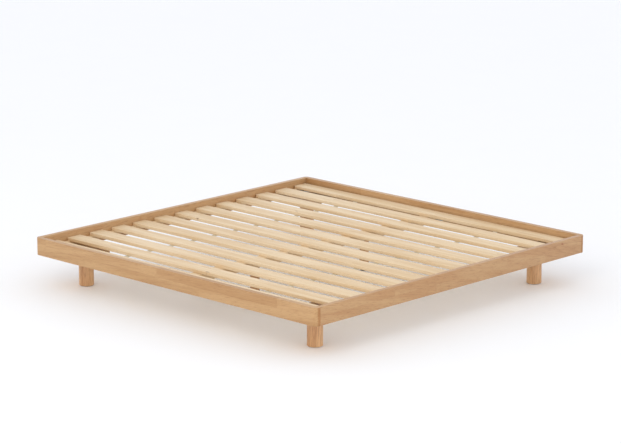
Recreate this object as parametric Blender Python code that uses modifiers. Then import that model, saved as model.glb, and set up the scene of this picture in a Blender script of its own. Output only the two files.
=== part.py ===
"""Oak platform bed frame on round legs, with a slatted base, a centre beam and levelling feet.

Metres, +Z up. The origin is on the floor under the middle of the frame. X runs across the bed,
and +Y runs from the foot to the head. Left and right are those of a person who stands at the
foot and looks towards the head, so right is +X.
"""

import math

import bmesh
import bpy
from mathutils import Vector

# ---------------------------------------------------------------- driving dimensions

# The mattress that the frame is made around, and how it lies between the rails.
MATTRESS_WIDTH = 2.000
MATTRESS_LENGTH = 2.000
MATTRESS_GAP = 0.005
MATTRESS_RECESS = 0.030

# Rails. The foot and head rails run the full width and cover the ends of the side rails.
RAIL_THICKNESS = 0.030
RAIL_HEIGHT = 0.094
RAIL_CLEARANCE = 0.170
RAIL_EDGE_ROUND = 0.0025
SEAM_EDGE_ROUND = 0.001
CORNER_FLAT = 0.002

# Round legs, each bolted to a plywood board in the corner of the frame.
LEG_DIAMETER = 0.080
LEG_INSET = 0.190
LEG_FOOT_ROUND = 0.003
LEG_TOP_ROUND = 0.001
FELT_THICKNESS = 0.003
FELT_INSET = 0.005
FELT_EDGE = 0.0005
BOARD_THICKNESS = 0.021
BOARD_MARGIN = 0.050
BOARD_EDGE = 0.0008
LEG_BOLT_DIAMETER = 0.010
LEG_BOLT_GRIP = 0.045
LEG_BOLT_HEAD_WIDTH = 0.017
LEG_BOLT_HEAD_HEIGHT = 0.0064
LEG_BOLT_WASHER_DIAMETER = 0.024
LEG_BOLT_WASHER_THICKNESS = 0.002
LEG_BOLT_HOLE_ROOM = 0.004

# Strips along the inside of the rails, which carry the ends of the slats.
LEDGER_WIDTH = 0.024
LEDGER_HEIGHT = 0.022
LEDGER_END_ROOM = 0.010
LEDGER_EDGE = 0.001

# Steel angle brackets that pull the rails together.
BRACKET_LENGTH = 0.060
BRACKET_SHEET = 0.003
BRACKET_BEND = 0.006
BRACKET_ROOM = 0.005
BRACKET_BOLT_AT = 0.035
CORNER_BOLT_DIAMETER = 0.008
CORNER_BOLT_GRIP = 0.018
CORNER_BOLT_HEAD_DIAMETER = 0.013
CORNER_BOLT_HEAD_HEIGHT = 0.008
CORNER_BOLT_HEAD_EDGE = 0.0006
CORNER_BOLT_SOCKET_WIDTH = 0.006
CORNER_BOLT_WASHER_RIM = 0.0015
CORNER_BOLT_WASHER_THICKNESS = 0.0016
CORNER_BOLT_HOLE_ROOM = 0.002
CORNER_CUT_ROOM = 0.025

# Centre beam, its steel hangers and its turned legs.
BEAM_WIDTH = 0.060
BEAM_DEPTH = 0.042
BEAM_EDGE_ROUND = 0.002
HANGER_SHEET = 0.002
HANGER_DEPTH = 0.040
HANGER_WING = 0.022
HANGER_SCREW_HOLE = 0.005
LAP_ROOM = 0.001
CENTRE_LEG_DIAMETER = 0.050
CENTRE_LEG_SPACING = 0.840
CENTRE_LEG_EDGE = 0.002
TENON_DIAMETER = 0.024
TENON_LENGTH = 0.025

# Levelling feet under the centre legs.
PAD_DIAMETER = 0.040
PAD_THICKNESS = 0.007
PAD_SOCKET_DEPTH = 0.004
PAD_HUB_WALL = 0.004
PAD_RIM = 0.003
PAD_EDGE = 0.001
STEM_DIAMETER = 0.010
STEM_LENGTH = 0.060
STEM_NUT_WIDTH = 0.017
STEM_NUT_HEIGHT = 0.005
STEM_NUT_GAP = 0.0008
LEVELLER_TRAVEL = 0.012
LEVELLER_ROOM = 0.002

# Slats, joined underneath by two webbing straps so that they roll up as one.
SLAT_COUNT = 13
SLAT_WIDTH = 0.090
SLAT_THICKNESS = 0.018
SLAT_END_GAP = 0.003
SLAT_END_MARGIN = 0.010
SLAT_EDGE_ROUND = 0.002
STRAP_WIDTH = 0.030
STRAP_THICKNESS = 0.0015
STRAP_INSET = 0.485
STRAP_TAIL = 0.020

# Chamfer at the end of a bolt or a threaded stem.
THREAD_TIP = 0.001

# Gap left between two faces that touch, and round a pin in its hole.
CONTACT_GAP = 0.0003

CORNER_SEGMENTS = 8
ROUND_STEPS = 40
SMALL_ROUND_STEPS = 16

# ---------------------------------------------------------------- places worked out from them

inner_x = MATTRESS_WIDTH / 2 + MATTRESS_GAP
inner_y = MATTRESS_LENGTH / 2 + MATTRESS_GAP
outer_x = inner_x + RAIL_THICKNESS
outer_y = inner_y + RAIL_THICKNESS

rail_bottom = RAIL_CLEARANCE
rail_top = rail_bottom + RAIL_HEIGHT
rail_middle = (rail_bottom + rail_top) / 2
slat_top = rail_top - MATTRESS_RECESS
slat_bottom = slat_top - SLAT_THICKNESS
ledger_top = slat_bottom - CONTACT_GAP
ledger_bottom = ledger_top - LEDGER_HEIGHT
board_top = ledger_bottom - CONTACT_GAP
board_bottom = board_top - BOARD_THICKNESS
beam_top = slat_bottom - CONTACT_GAP
beam_bottom = beam_top - BEAM_DEPTH

leg_x = outer_x - LEG_INSET
leg_y = outer_y - LEG_INSET

# Each corner of the frame: its name, its signs in X and Y, and the turn about Z that brings a
# piece modelled for the foot's left corner round to it.
CORNERS = (
    ("foot_left", -1, -1, 0.0),
    ("foot_right", 1, -1, math.pi / 2),
    ("head_right", 1, 1, math.pi),
    ("head_left", -1, 1, -math.pi / 2),
)

# ---------------------------------------------------------------- scene, materials, helpers

for old in list(bpy.data.objects):
    bpy.data.objects.remove(old)

PARTS = bpy.data.collections.new("bed_frame")
CUTTERS = bpy.data.collections.new("bed_frame_cutters")
for collection in (PARTS, CUTTERS):
    bpy.context.scene.collection.children.link(collection)


def material(name, color, roughness, metallic=0.0):
    made = bpy.data.materials.new(name)
    made.use_nodes = True
    shader = made.node_tree.nodes["Principled BSDF"]
    shader.inputs["Base Color"].default_value = (*color, 1.0)
    shader.inputs["Roughness"].default_value = roughness
    shader.inputs["Metallic"].default_value = metallic
    return made


OAK = material("oak", (0.565, 0.352, 0.182), 0.45)
OAK_LEG = material("oak_leg", (0.470, 0.260, 0.125), 0.45)
PINE = material("pine", (0.680, 0.520, 0.330), 0.60)
PLYWOOD = material("birch_plywood", (0.700, 0.560, 0.380), 0.60)
STEEL = material("zinc_steel", (0.560, 0.565, 0.570), 0.35, metallic=1.0)
FELT = material("felt", (0.500, 0.430, 0.340), 0.95)
NYLON = material("nylon", (0.035, 0.035, 0.038), 0.50)
WEBBING = material("webbing", (0.640, 0.600, 0.520), 0.90)


def finish_mesh(bm, name):
    """The bmesh as a mesh, with its flat faces flat and its round ones smooth."""
    mesh = bpy.data.meshes.new(name)
    bm.to_mesh(mesh)
    bm.free()
    mesh.shade_smooth()
    mesh.set_sharp_from_angle(angle=math.radians(30))
    return mesh


def add_object(name, mesh, location=(0, 0, 0), turn=0.0, collection=None, finish=None):
    made = bpy.data.objects.new(name, mesh)
    made.location = location
    made.rotation_euler = (0, 0, turn)
    (collection or PARTS).objects.link(made)
    if finish:
        mesh.materials.clear()
        mesh.materials.append(finish)
    return made


def point_along(made, direction):
    """Turns an object so that its own -Z runs along the direction."""
    turned = Vector((0, 0, -1)).rotation_difference(Vector(direction))
    made.rotation_euler = turned.to_euler()


def box_bmesh(size):
    bm = bmesh.new()
    bmesh.ops.create_cube(bm, size=1.0)
    bmesh.ops.scale(bm, vec=size, verts=bm.verts)
    return bm


def box_between(name, low, high, finish):
    """A box from its lowest to its highest corner, with its origin in its middle."""
    low, high = Vector(low), Vector(high)
    mesh = finish_mesh(box_bmesh(high - low), name)
    return add_object(name, mesh, (low + high) / 2, finish=finish)


def prism_bmesh(radius, depth, sides):
    bm = bmesh.new()
    bmesh.ops.create_cone(
        bm, cap_ends=True, segments=sides, radius1=radius, radius2=radius, depth=depth
    )
    return bm


def bevel(made, width, segments=2, angle=40):
    change = made.modifiers.new("edges", "BEVEL")
    change.width = width
    change.segments = segments
    change.limit_method = "ANGLE"
    change.angle_limit = math.radians(angle)


def turned_object(name, profile, finish, steps=ROUND_STEPS):
    """A profile of (radius, height) points turned about Z. It runs down the outer side."""
    mesh = bpy.data.meshes.new(name)
    points = [(radius, 0, height) for radius, height in profile]
    mesh.from_pydata(points, [(i, i + 1) for i in range(len(points) - 1)], [])
    made = add_object(name, mesh, finish=finish)
    turn = made.modifiers.new("turned", "SCREW")
    turn.steps = turn.render_steps = steps
    turn.use_merge_vertices = True
    turn.merge_threshold = 0.00001
    turn.use_smooth_shade = True
    return made


def arc(centre, radius, start, end, steps=2):
    """Points (radius, height) round an arc, its angles in degrees from the outward direction."""
    angles = [math.radians(start + (end - start) * i / steps) for i in range(steps + 1)]
    return [
        (centre[0] + radius * math.cos(a), centre[1] + radius * math.sin(a)) for a in angles
    ]


def helper(name, bm, location, turn=0.0):
    """A hidden shape that a Boolean cuts with or adds."""
    made = add_object(name, finish_mesh(bm, name), location, turn, collection=CUTTERS)
    made.hide_render = True
    made.display_type = "WIRE"
    return made


def boolean(made, other, operation="DIFFERENCE"):
    change = made.modifiers.new(other.name, "BOOLEAN")
    change.operation = operation
    change.solver = "EXACT"
    change.object = other


def baked(made):
    """The evaluated mesh of a finished object, which is then removed."""
    bpy.context.view_layer.update()
    graph = bpy.context.evaluated_depsgraph_get()
    mesh = bpy.data.meshes.new_from_object(made.evaluated_get(graph))
    mesh.name = made.name
    bpy.data.objects.remove(made)
    mesh.set_sharp_from_angle(angle=math.radians(30))
    return mesh


def empty(name, location):
    made = bpy.data.objects.new(name, None)
    made.location = location
    PARTS.objects.link(made)
    return made


def parent_to(made, mover):
    made.parent = mover
    made.location = made.location - mover.location


# ---------------------------------------------------------------- rails


def weighted_edges(bm, upright_share):
    """Gives level edges the whole edge rounding, and sharp upright ones a share of it."""
    weight = bm.edges.layers.float.new("bevel_weight_edge")
    for edge in bm.edges:
        if edge.calc_face_angle() < math.radians(40):
            continue
        level = abs(edge.verts[0].co.z - edge.verts[1].co.z) < 1e-6
        edge[weight] = 1.0 if level else upright_share


def round_weighted_edges(made, width):
    change = made.modifiers.new("edges", "BEVEL")
    change.width = width
    change.segments = 3
    change.limit_method = "WEIGHT"


def end_rail(name, side):
    """A foot or head rail. Both outer corners are rounded, as far as a narrow flat at the seam."""
    bm = box_bmesh((2 * outer_x, RAIL_THICKNESS, RAIL_HEIGHT))
    corners = [
        edge
        for edge in bm.edges
        if edge.verts[0].co.y < 0
        and edge.verts[1].co.y < 0
        and abs(edge.verts[0].co.x - edge.verts[1].co.x) < 1e-6
        and abs(edge.verts[0].co.z - edge.verts[1].co.z) > 1e-6
    ]
    bmesh.ops.bevel(
        bm,
        geom=corners,
        offset=RAIL_THICKNESS - CORNER_FLAT,
        segments=CORNER_SEGMENTS,
        profile=0.5,
        affect="EDGES",
    )
    weighted_edges(bm, SEAM_EDGE_ROUND / RAIL_EDGE_ROUND)
    place = (0, side * (inner_y + RAIL_THICKNESS / 2), rail_middle)
    turn = 0.0 if side < 0 else math.pi
    rail = add_object(name, finish_mesh(bm, name), place, turn, finish=OAK)
    round_weighted_edges(rail, RAIL_EDGE_ROUND)
    return rail


def side_rail(name, side):
    """A side rail, between the foot and head rails and flush with their ends."""
    bm = box_bmesh((RAIL_THICKNESS, 2 * (inner_y - CONTACT_GAP), RAIL_HEIGHT))
    weighted_edges(bm, SEAM_EDGE_ROUND / RAIL_EDGE_ROUND)
    weight = bm.edges.layers.float["bevel_weight_edge"]
    for edge in bm.edges:
        if abs(edge.verts[0].co.y - edge.verts[1].co.y) < 1e-6:
            edge[weight] = SEAM_EDGE_ROUND / RAIL_EDGE_ROUND
    place = (side * (inner_x + RAIL_THICKNESS / 2), 0, rail_middle)
    rail = add_object(name, finish_mesh(bm, name), place, finish=OAK)
    round_weighted_edges(rail, RAIL_EDGE_ROUND)
    return rail


rails = {
    (0, -1): end_rail("foot_rail", -1),
    (0, 1): end_rail("head_rail", 1),
    (-1, 0): side_rail("side_rail_left", -1),
    (1, 0): side_rail("side_rail_right", 1),
}

# ---------------------------------------------------------------- corner brackets and their bolts

bracket_low = rail_bottom + BRACKET_ROOM
bracket_high = slat_bottom - BRACKET_ROOM
bracket_middle = (bracket_low + bracket_high) / 2
bolt_hole_radius = CORNER_BOLT_DIAMETER / 2 + CONTACT_GAP
bolt_hole_depth = CORNER_BOLT_GRIP + CORNER_BOLT_HOLE_ROOM


def bracket_mesh():
    """A bent steel angle. Its corner is at the origin, and its arms run along +X and +Y."""
    bm = bmesh.new()
    height = bracket_high - bracket_low
    bmesh.ops.create_grid(bm, x_segments=1, y_segments=1, size=0.5)
    for vert in bm.verts:
        vert.co = Vector((vert.co.x + 0.5, 0, vert.co.y))
    bmesh.ops.scale(bm, vec=(BRACKET_LENGTH, 1, height), verts=bm.verts)
    corner = [e for e in bm.edges if all(v.co.x < 1e-6 for v in e.verts)]
    moved = bmesh.ops.extrude_edge_only(bm, edges=corner)["geom"]
    arm = [item for item in moved if isinstance(item, bmesh.types.BMVert)]
    bmesh.ops.translate(bm, vec=(0, BRACKET_LENGTH, 0), verts=arm)
    bmesh.ops.recalc_face_normals(bm, faces=bm.faces)
    bend = [e for e in bm.edges if all(v.co.xy.length < 1e-6 for v in e.verts)]
    bmesh.ops.bevel(
        bm, geom=bend, offset=BRACKET_BEND, segments=4, profile=0.5, affect="EDGES"
    )
    arm_tip = max(bm.faces, key=lambda face: face.calc_center_median().x)
    if arm_tip.normal.y < 0:
        bmesh.ops.reverse_faces(bm, faces=bm.faces)
    made = add_object("bracket_pattern", finish_mesh(bm, "bracket_pattern"))
    wall = made.modifiers.new("sheet", "SOLIDIFY")
    wall.thickness = BRACKET_SHEET
    wall.offset = 1.0
    for index, place in enumerate(((BRACKET_BOLT_AT, 0, 0), (0, BRACKET_BOLT_AT, 0))):
        hole = helper(
            f"bracket_hole_{index}",
            prism_bmesh(bolt_hole_radius, 4 * BRACKET_SHEET, SMALL_ROUND_STEPS),
            place,
        )
        point_along(hole, (0, 1, 0) if index == 0 else (1, 0, 0))
        boolean(made, hole)
    return baked(made)


def shank_profile(radius, grip):
    """The outer side of a bolt's shank and its chamfered end, as a profile from z = 0 down."""
    return [(radius, 0), (radius, THREAD_TIP - grip), (radius - THREAD_TIP, -grip), (0, -grip)]


def socket_bolt_mesh():
    """A socket-head bolt with its washer. The washer's seat is at z = 0, the shank below it."""
    head, edge = CORNER_BOLT_HEAD_DIAMETER / 2, CORNER_BOLT_HEAD_EDGE
    washer, washer_height = head + CORNER_BOLT_WASHER_RIM, CORNER_BOLT_WASHER_THICKNESS
    top = washer_height + CORNER_BOLT_HEAD_HEIGHT
    profile = [(0, top), (head - edge, top), (head, top - edge), (head, washer_height)]
    profile += [(washer, washer_height), (washer, 0)]
    profile += shank_profile(CORNER_BOLT_DIAMETER / 2, CORNER_BOLT_GRIP + BRACKET_SHEET)
    bolt = turned_object("corner_bolt", profile, STEEL, SMALL_ROUND_STEPS)
    socket = helper(
        "corner_bolt_socket",
        prism_bmesh(CORNER_BOLT_SOCKET_WIDTH / math.sqrt(3), CORNER_BOLT_HEAD_HEIGHT, 6),
        (0, 0, top),
    )
    boolean(bolt, socket)
    return baked(bolt)


bracket, corner_bolt = bracket_mesh(), socket_bolt_mesh()

for corner, sx, sy, turn in CORNERS:
    corner_place = (
        sx * (inner_x - CONTACT_GAP),
        sy * (inner_y - CONTACT_GAP),
        bracket_middle,
    )
    add_object(f"corner_bracket_{corner}", bracket, corner_place, turn, finish=STEEL)
    seat = BRACKET_SHEET + 2 * CONTACT_GAP
    bolt_places = {
        "end": (
            (0, sy),
            (sx * (inner_x - BRACKET_BOLT_AT), sy * (inner_y - seat), bracket_middle),
        ),
        "side": (
            (sx, 0),
            (sx * (inner_x - seat), sy * (inner_y - BRACKET_BOLT_AT), bracket_middle),
        ),
    }
    for which, (outward, place) in bolt_places.items():
        bolt = add_object(f"corner_bolt_{corner}_{which}", corner_bolt, place, finish=STEEL)
        point_along(bolt, (*outward, 0))
        hole = helper(
            f"bolt_hole_{corner}_{which}",
            prism_bmesh(bolt_hole_radius, 2 * (bolt_hole_depth + seat), SMALL_ROUND_STEPS),
            place,
        )
        point_along(hole, (*outward, 0))
        boolean(rails[outward], hole)

# ---------------------------------------------------------------- ledgers

ledger_reach_x = inner_x - BRACKET_LENGTH - LEDGER_END_ROOM
ledger_reach_y = inner_y - BRACKET_LENGTH - LEDGER_END_ROOM


def ledger(name, low, high):
    made = box_between(name, low, high, PINE)
    bevel(made, LEDGER_EDGE, segments=1)


for name, side in (("left", -1), ("right", 1)):
    near, far = sorted((side * (inner_x - CONTACT_GAP), side * (inner_x - LEDGER_WIDTH)))
    ledger(
        f"side_ledger_{name}",
        (near, -ledger_reach_y, ledger_bottom),
        (far, ledger_reach_y, ledger_top),
    )
for name, side in (("foot", -1), ("head", 1)):
    near, far = sorted((side * (inner_y - CONTACT_GAP), side * (inner_y - LEDGER_WIDTH)))
    ledger(
        f"end_ledger_{name}",
        (-ledger_reach_x, near, ledger_bottom),
        (ledger_reach_x, far, ledger_top),
    )

# ---------------------------------------------------------------- leg boards, legs, bolts, felt

board_side = LEG_INSET - RAIL_THICKNESS + LEG_DIAMETER / 2 + BOARD_MARGIN
leg_hole_radius = LEG_BOLT_DIAMETER / 2 + CONTACT_GAP
leg_bottom = FELT_THICKNESS + CONTACT_GAP
leg_top = board_bottom - CONTACT_GAP
leg_hole_depth = LEG_BOLT_GRIP + LEG_BOLT_HOLE_ROOM


def board_mesh():
    """A square board with its outer corner cut off, to leave the corner bracket room."""
    bm = box_bmesh((board_side, board_side, BOARD_THICKNESS))
    outer = [e for e in bm.edges if all(v.co.x < 0 and v.co.y < 0 for v in e.verts)]
    bmesh.ops.bevel(
        bm,
        geom=outer,
        offset=BRACKET_LENGTH + CORNER_CUT_ROOM,
        segments=1,
        affect="EDGES",
    )
    made = add_object("leg_board", finish_mesh(bm, "leg_board"))
    bevel(made, BOARD_EDGE, segments=1)
    to_leg = board_side / 2 - BOARD_MARGIN - LEG_DIAMETER / 2
    hole = helper(
        "leg_board_hole",
        prism_bmesh(leg_hole_radius, 2 * BOARD_THICKNESS, SMALL_ROUND_STEPS),
        (to_leg, to_leg, 0),
    )
    boolean(made, hole)
    return baked(made)


def leg_mesh():
    """A plain round leg, with a blind hole in its top for the bolt."""
    radius, height = LEG_DIAMETER / 2, leg_top - leg_bottom
    hole_bottom = height - leg_hole_depth
    profile = [(0, hole_bottom), (leg_hole_radius, hole_bottom), (leg_hole_radius, height)]
    profile += arc((radius - LEG_TOP_ROUND, height - LEG_TOP_ROUND), LEG_TOP_ROUND, 90, 0)
    profile += arc((radius - LEG_FOOT_ROUND, LEG_FOOT_ROUND), LEG_FOOT_ROUND, 0, -90)
    profile += [(0, 0)]
    return baked(turned_object("leg", profile, OAK_LEG))


def hex_bolt_mesh():
    """A hexagon bolt with its washer. The washer's seat is at z = 0, the shank below it."""
    washer, washer_height = LEG_BOLT_WASHER_DIAMETER / 2, LEG_BOLT_WASHER_THICKNESS
    profile = [(0, washer_height), (washer, washer_height), (washer, 0)]
    profile += shank_profile(LEG_BOLT_DIAMETER / 2, BOARD_THICKNESS + LEG_BOLT_GRIP)
    bolt = turned_object("leg_bolt", profile, STEEL, SMALL_ROUND_STEPS)
    # The head starts half way down the washer, so that the two join.
    head_radius = LEG_BOLT_HEAD_WIDTH / math.sqrt(3)
    head = helper(
        "leg_bolt_head",
        prism_bmesh(head_radius, LEG_BOLT_HEAD_HEIGHT + washer_height / 2, 6),
        (0, 0, washer_height * 3 / 4 + LEG_BOLT_HEAD_HEIGHT / 2),
    )
    boolean(bolt, head, "UNION")
    return baked(bolt)


def felt_mesh():
    radius, edge = LEG_DIAMETER / 2 - FELT_INSET, FELT_EDGE
    profile = [(0, FELT_THICKNESS), (radius - edge, FELT_THICKNESS)]
    profile += [(radius, FELT_THICKNESS - edge), (radius, 0), (0, 0)]
    return baked(turned_object("felt_pad", profile, FELT, SMALL_ROUND_STEPS * 2))


board, leg, leg_bolt, felt = board_mesh(), leg_mesh(), hex_bolt_mesh(), felt_mesh()
board_from_inner = board_side / 2 + CONTACT_GAP

for corner, sx, sy, turn in CORNERS:
    board_place = (
        sx * (inner_x - board_from_inner),
        sy * (inner_y - board_from_inner),
        (board_bottom + board_top) / 2,
    )
    add_object(f"leg_board_{corner}", board, board_place, turn, finish=PLYWOOD)
    axis = (sx * (leg_x - CONTACT_GAP), sy * (leg_y - CONTACT_GAP))
    add_object(f"leg_{corner}", leg, (*axis, leg_bottom), turn, finish=OAK_LEG)
    add_object(f"leg_bolt_{corner}", leg_bolt, (*axis, board_top + CONTACT_GAP), finish=STEEL)
    add_object(f"felt_pad_{corner}", felt, (*axis, 0), finish=FELT)

# ---------------------------------------------------------------- centre beam and its hangers

beam_end = inner_y - HANGER_SHEET - 2 * CONTACT_GAP
tongue_top = ledger_bottom - CONTACT_GAP
tongue_start = inner_y - LEDGER_WIDTH - LAP_ROOM
hanger_top = ledger_bottom - LAP_ROOM
hanger_inside = BEAM_WIDTH / 2 + CONTACT_GAP
hanger_outside = hanger_inside + HANGER_SHEET
hanger_floor = beam_bottom - CONTACT_GAP
hanger_bottom = hanger_floor - HANGER_SHEET

beam = box_between(
    "centre_beam",
    (-BEAM_WIDTH / 2, -beam_end, beam_bottom),
    (BEAM_WIDTH / 2, beam_end, beam_top),
    PINE,
)
bevel(beam, BEAM_EDGE_ROUND)

for name, side in (("foot", -1), ("head", 1)):
    # The beam's end is cut down to a tongue, which passes under the end ledger.
    lap_depth = beam_end - tongue_start
    lap_height = beam_top - tongue_top
    lap = helper(
        f"beam_lap_{name}",
        box_bmesh((2 * BEAM_WIDTH, 2 * lap_depth, 2 * lap_height)),
        (0, side * (tongue_start + lap_depth), tongue_top + lap_height),
    )
    boolean(beam, lap)

    # The hanger is a U of sheet steel under the beam's end, on a plate against the rail.
    wing = hanger_outside + HANGER_WING
    plate_face = inner_y - CONTACT_GAP - HANGER_SHEET
    hanger_middle = (hanger_bottom + hanger_top) / 2
    hanger_height = hanger_top - hanger_bottom
    hanger = add_object(
        f"beam_hanger_{name}",
        finish_mesh(box_bmesh((2 * wing, HANGER_SHEET, hanger_height)), "hanger_plate"),
        (0, side * (inner_y - CONTACT_GAP - HANGER_SHEET / 2), hanger_middle),
        finish=STEEL,
    )
    trough_middle = side * (plate_face - HANGER_DEPTH / 2 + HANGER_SHEET / 4)
    trough = helper(
        f"hanger_trough_{name}",
        box_bmesh((2 * hanger_outside, HANGER_DEPTH + HANGER_SHEET / 2, hanger_height)),
        (0, trough_middle, hanger_middle),
    )
    room = helper(
        f"hanger_room_{name}",
        box_bmesh((2 * hanger_inside, 2 * HANGER_DEPTH, hanger_height)),
        (0, side * (plate_face - HANGER_DEPTH), hanger_middle + HANGER_SHEET),
    )
    boolean(hanger, trough, "UNION")
    boolean(hanger, room)
    for hand, sx in (("left", -1), ("right", 1)):
        screw_hole = helper(
            f"hanger_screw_hole_{name}_{hand}",
            prism_bmesh(HANGER_SCREW_HOLE / 2, 4 * HANGER_SHEET, SMALL_ROUND_STEPS),
            (sx * (hanger_outside + HANGER_WING / 2), side * inner_y, hanger_middle),
        )
        point_along(screw_hole, (0, side, 0))
        boolean(hanger, screw_hole)

# ---------------------------------------------------------------- centre legs and levelling feet

nut_bottom = PAD_THICKNESS + STEM_NUT_GAP
nut_top = nut_bottom + STEM_NUT_HEIGHT
centre_leg_bottom = nut_top + LEVELLER_TRAVEL + LEVELLER_ROOM
centre_leg_top = beam_bottom - CONTACT_GAP
tenon_radius = TENON_DIAMETER / 2
stem_radius = STEM_DIAMETER / 2
stem_bottom = PAD_THICKNESS - PAD_SOCKET_DEPTH + CONTACT_GAP
stem_top = stem_bottom + STEM_LENGTH
stem_bore_top = stem_top + LEVELLER_TRAVEL + LEVELLER_ROOM
stem_bore_radius = stem_radius + CONTACT_GAP


def centre_leg_mesh():
    """A turned leg with a round tenon above its shoulder and a bore below for the stem."""
    radius, edge = CENTRE_LEG_DIAMETER / 2, CENTRE_LEG_EDGE
    tenon_top = centre_leg_top + TENON_LENGTH
    profile = [(0, tenon_top), (tenon_radius - edge, tenon_top)]
    profile += [(tenon_radius, tenon_top - edge), (tenon_radius, centre_leg_top)]
    profile += [(radius, centre_leg_top)]
    profile += arc((radius - edge, centre_leg_bottom + edge), edge, 0, -90)
    profile += [(stem_bore_radius, centre_leg_bottom)]
    profile += [(stem_bore_radius, stem_bore_top), (0, stem_bore_top)]
    return baked(turned_object("centre_leg", profile, OAK_LEG, ROUND_STEPS // 2))


def pad_mesh():
    """A nylon pad with a sloping top and a socket for the stem's end."""
    radius, edge, rim = PAD_DIAMETER / 2, PAD_EDGE, PAD_RIM
    hub, socket = stem_radius + PAD_HUB_WALL, stem_radius + CONTACT_GAP
    socket_floor = PAD_THICKNESS - PAD_SOCKET_DEPTH
    profile = [(0, socket_floor), (socket, socket_floor), (socket, PAD_THICKNESS)]
    profile += [(hub, PAD_THICKNESS), (radius - edge, rim + edge), (radius, rim)]
    profile += [(radius, edge), (radius - edge, 0), (0, 0)]
    return baked(turned_object("leveller_pad", profile, NYLON, SMALL_ROUND_STEPS * 2))


def stem_mesh():
    """A threaded stem with the hexagon that a spanner turns."""
    profile = [(0, stem_top), (stem_radius - THREAD_TIP, stem_top)]
    profile += [(stem_radius, stem_top - THREAD_TIP), (stem_radius, stem_bottom), (0, stem_bottom)]
    stem = turned_object("leveller_stem", profile, STEEL, SMALL_ROUND_STEPS)
    nut = helper(
        "leveller_nut",
        prism_bmesh(STEM_NUT_WIDTH / math.sqrt(3), STEM_NUT_HEIGHT, 6),
        (0, 0, (nut_bottom + nut_top) / 2),
    )
    boolean(stem, nut, "UNION")
    return baked(stem)


centre_leg, pad, stem = centre_leg_mesh(), pad_mesh(), stem_mesh()

for name, side in (("foot", -1), ("head", 1)):
    at_y = side * CENTRE_LEG_SPACING / 2
    add_object(f"centre_leg_{name}", centre_leg, (0, at_y, 0), finish=OAK_LEG)
    mortise = helper(
        f"beam_mortise_{name}",
        prism_bmesh(tenon_radius + CONTACT_GAP, 2 * (TENON_LENGTH + LAP_ROOM), SMALL_ROUND_STEPS),
        (0, at_y, beam_bottom),
    )
    boolean(beam, mortise)
    mover = empty(f"leveller_{name}", (0, at_y, 0))
    parent_to(add_object(f"leveller_pad_{name}", pad, (0, at_y, 0), finish=NYLON), mover)
    parent_to(add_object(f"leveller_stem_{name}", stem, (0, at_y, 0), finish=STEEL), mover)

# ---------------------------------------------------------------- slats and straps

slat_length = 2 * (inner_x - SLAT_END_GAP)
first_slat = -inner_y + SLAT_END_MARGIN + SLAT_WIDTH / 2
slat_pitch = -2 * first_slat / (SLAT_COUNT - 1)
strap_reach = -first_slat + STRAP_TAIL
strap_x = inner_x - STRAP_INSET

slat_bm = box_bmesh((slat_length, SLAT_WIDTH, SLAT_THICKNESS))
slat_mesh = finish_mesh(slat_bm, "slat")
deck = empty("slat_deck", (0, 0, slat_bottom))

for index in range(SLAT_COUNT):
    place = (0, first_slat + index * slat_pitch, (slat_bottom + slat_top) / 2)
    slat = add_object(f"slat_{index + 1:02d}", slat_mesh, place, finish=PINE)
    bevel(slat, SLAT_EDGE_ROUND)
    parent_to(slat, deck)

for name, side in (("left", -1), ("right", 1)):
    strap = box_between(
        f"slat_strap_{name}",
        (
            side * strap_x - STRAP_WIDTH / 2,
            -strap_reach,
            slat_bottom - CONTACT_GAP - STRAP_THICKNESS,
        ),
        (side * strap_x + STRAP_WIDTH / 2, strap_reach, slat_bottom - CONTACT_GAP),
        WEBBING,
    )
    parent_to(strap, deck)
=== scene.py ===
# %% [markdown]
# # An oak platform bed, dressed around its CAD frame
#
# The CAD model says where every piece of the bed is and how big it is. This lesson gives each
# piece the surface of the real thing: oak rails with soft edges, turned legs, planed slats,
# zinc-plated hardware and cotton webbing. The frame is loaded first, because every later
# position is read from it and nothing is typed in twice.

# %% Load the frame
import math

import bmesh
import bpy
from mathutils import Matrix, Vector


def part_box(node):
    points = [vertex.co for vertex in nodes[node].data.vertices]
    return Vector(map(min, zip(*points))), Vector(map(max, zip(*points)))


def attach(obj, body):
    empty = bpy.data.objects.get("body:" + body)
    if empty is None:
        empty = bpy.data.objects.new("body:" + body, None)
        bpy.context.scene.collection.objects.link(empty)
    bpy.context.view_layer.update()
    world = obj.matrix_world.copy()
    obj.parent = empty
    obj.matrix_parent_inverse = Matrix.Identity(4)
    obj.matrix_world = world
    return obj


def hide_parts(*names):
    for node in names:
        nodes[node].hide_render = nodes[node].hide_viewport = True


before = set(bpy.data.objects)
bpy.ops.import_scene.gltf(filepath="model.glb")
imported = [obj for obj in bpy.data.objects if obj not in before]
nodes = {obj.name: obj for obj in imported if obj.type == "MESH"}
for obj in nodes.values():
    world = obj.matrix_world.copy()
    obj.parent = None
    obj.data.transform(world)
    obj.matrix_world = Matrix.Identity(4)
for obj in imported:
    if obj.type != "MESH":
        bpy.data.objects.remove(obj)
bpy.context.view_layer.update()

# %% [markdown]
# ## Measures
#
# A rail's thickness, the inside of the frame and the height of the slats can all be read from
# the boxes of the CAD nodes. X runs across the bed and Y from the foot to the head.

# %% Read the main measures off the frame
foot_low, foot_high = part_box("foot_rail")
side_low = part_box("side_rail_right")[0]
rail_thickness = foot_high.y - foot_low.y
rail_bottom, rail_top = foot_low.z, foot_high.z
outer_x, outer_y = foot_high.x, -foot_low.y
inner_x, inner_y = side_low.x, -foot_high.y
corners = {
    "foot_left": (-1, -1),
    "foot_right": (1, -1),
    "head_right": (1, 1),
    "head_left": (-1, 1),
}
slat_names = sorted(name for name in nodes if name.startswith("slat_") and name[-1].isdigit())
print("rails:", round(rail_thickness * 1000, 1), "mm thick;", len(slat_names), "slats")

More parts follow.
